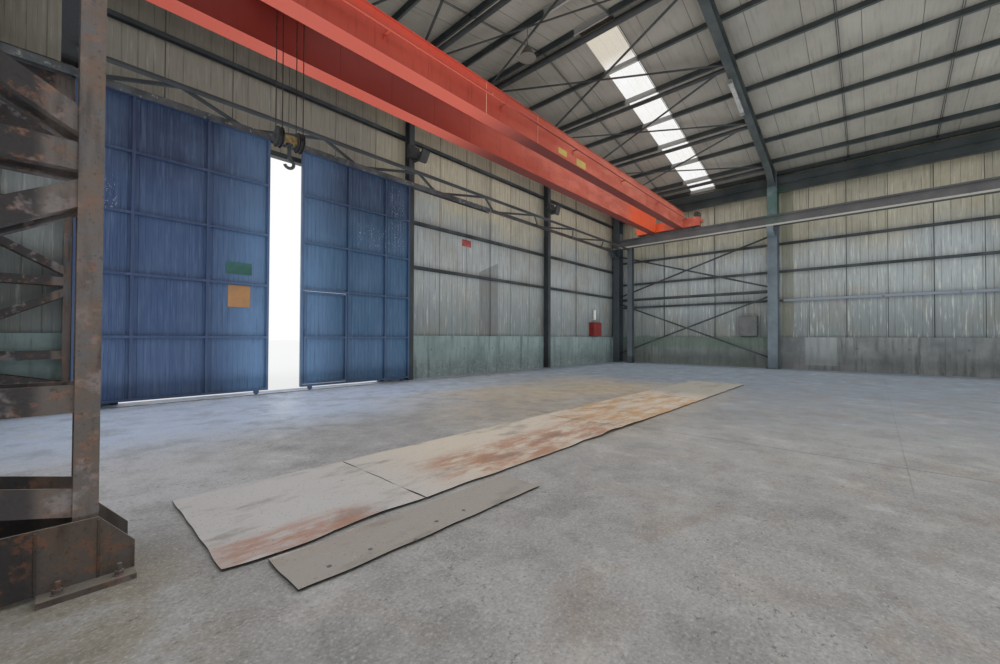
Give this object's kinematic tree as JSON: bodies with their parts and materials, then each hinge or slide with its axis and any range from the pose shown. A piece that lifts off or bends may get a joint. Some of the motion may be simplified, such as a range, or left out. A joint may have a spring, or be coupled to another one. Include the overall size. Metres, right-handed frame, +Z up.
{
  "type": "factory building",
  "caption": "Single-span steel factory hall, clad and roofed, with a sliding door, a wicket door and an overhead travelling crane on lattice columns.",
  "frame": {"origin": "middle of the footprint, on the underside of the floor slab", "axes": "+Z up, +Y along the hall towards the gable with the sliding door, +X across the hall towards the side with the single columns"},
  "size_m": [19.32, 30.7, 9.0735],
  "materials": {
    "floor_concrete": "dusty grey concrete, stained",
    "side_concrete": "grey concrete with streaks",
    "gable_concrete": "grey-green painted concrete, flaking",
    "wall_cladding": "pale ribbed sheet, yellowed and dusty",
    "roof_sheet": "grey-blue ribbed sheet",
    "rooflight_sheet": "translucent ribbed sheet",
    "rafter_steel": "dark teal-grey paint",
    "dark_steel": "dark grey paint",
    "blue_grey_steel": "blue-grey paint, chipped",
    "rust_brown_steel": "red-brown primer with rust",
    "runway_steel": "dark grey paint, worn rail",
    "rusty_steel": "rusty checker plate",
    "door_blue": "dark blue paint, faded",
    "roller_steel": "worn steel",
    "crane_red": "red-orange paint, dusty",
    "rope_steel": "greased steel rope",
    "cabinet_paint": "grey and red paint",
    "lamp_housing": "grey paint, pale lens"
  },
  "bodies": {
    "building": {"floor_slab": "floor_concrete", "floor_covers": "rusty_steel", "side_dados": "side_concrete", "gable_dados": "gable_concrete", "side_cladding": "wall_cladding", "gable_cladding": "wall_cladding", "cladding_over_door": "wall_cladding", "east_columns": "blue_grey_steel", "west_column_heads": "dark_steel", "lattice_columns": "rust_brown_steel", "east_rafters": "rafter_steel", "west_rafters": "rafter_steel", "gable_posts": "blue_grey_steel", "purlins": "rafter_steel", "east_roof_sheets": "roof_sheet", "west_roof_sheets": "roof_sheet", "rooflights": "rooflight_sheet", "ridge_cap": "roof_sheet", "girts": "dark_steel", "door_jambs": "dark_steel", "door_lintel": "dark_steel", "eaves_beams": "rafter_steel", "bracing": "dark_steel", "runway_brackets": "blue_grey_steel", "crane_runways": "runway_steel", "wind_trusses": "blue_grey_steel", "door_tracks": "dark_steel", "wall_cabinets": "cabinet_paint", "lamps": "lamp_housing"},
    "left_leaf": {"left_leaf": "door_blue", "left_leaf_rollers": "roller_steel"},
    "right_leaf": {"right_leaf_upper": "door_blue", "right_leaf_lower": "door_blue", "right_leaf_jamb": "door_blue", "right_leaf_sill": "door_blue", "right_leaf_rollers": "roller_steel"},
    "wicket_door": {"wicket_door": "door_blue"},
    "crane_bridge": {"crane_girders": "crane_red", "crane_end_carriages": "crane_red", "crane_drives": "roller_steel"},
    "crane_trolley": {"trolley_frame": "crane_red", "trolley_machinery": "roller_steel", "hoist_ropes": "rope_steel"},
    "crane_hook": {"hook_block": "dark_steel", "hook": "dark_steel"}
  },
  "joints": [
    {"name": "left_leaf_slide", "type": "slide", "parent": "building", "child": "left_leaf", "axis": [1, 0, 0], "range_m": [-1.2, 0.29]},
    {"name": "right_leaf_slide", "type": "slide", "parent": "building", "child": "right_leaf", "axis": [1, 0, 0], "range_m": [-0.29, 2.04]},
    {"name": "wicket_hinge", "type": "hinge", "parent": "right_leaf", "child": "wicket_door", "pos_m": [-3.962, 14.7, 1.2], "axis": [0, 0, 1], "range_deg": [0, 100]},
    {"name": "crane_travel", "type": "slide", "parent": "building", "child": "crane_bridge", "axis": [0, 1, 0], "range_m": [-25.7, 0.6]},
    {"name": "trolley_travel", "type": "slide", "parent": "crane_bridge", "child": "crane_trolley", "axis": [1, 0, 0], "range_m": [-1.1, 13.5]},
    {"name": "hoist", "type": "slide", "parent": "crane_trolley", "child": "crane_hook", "axis": [0, 0, 1], "range_m": [-3.1, 0.9], "deforming": ["hoist_ropes"]}
  ]
}
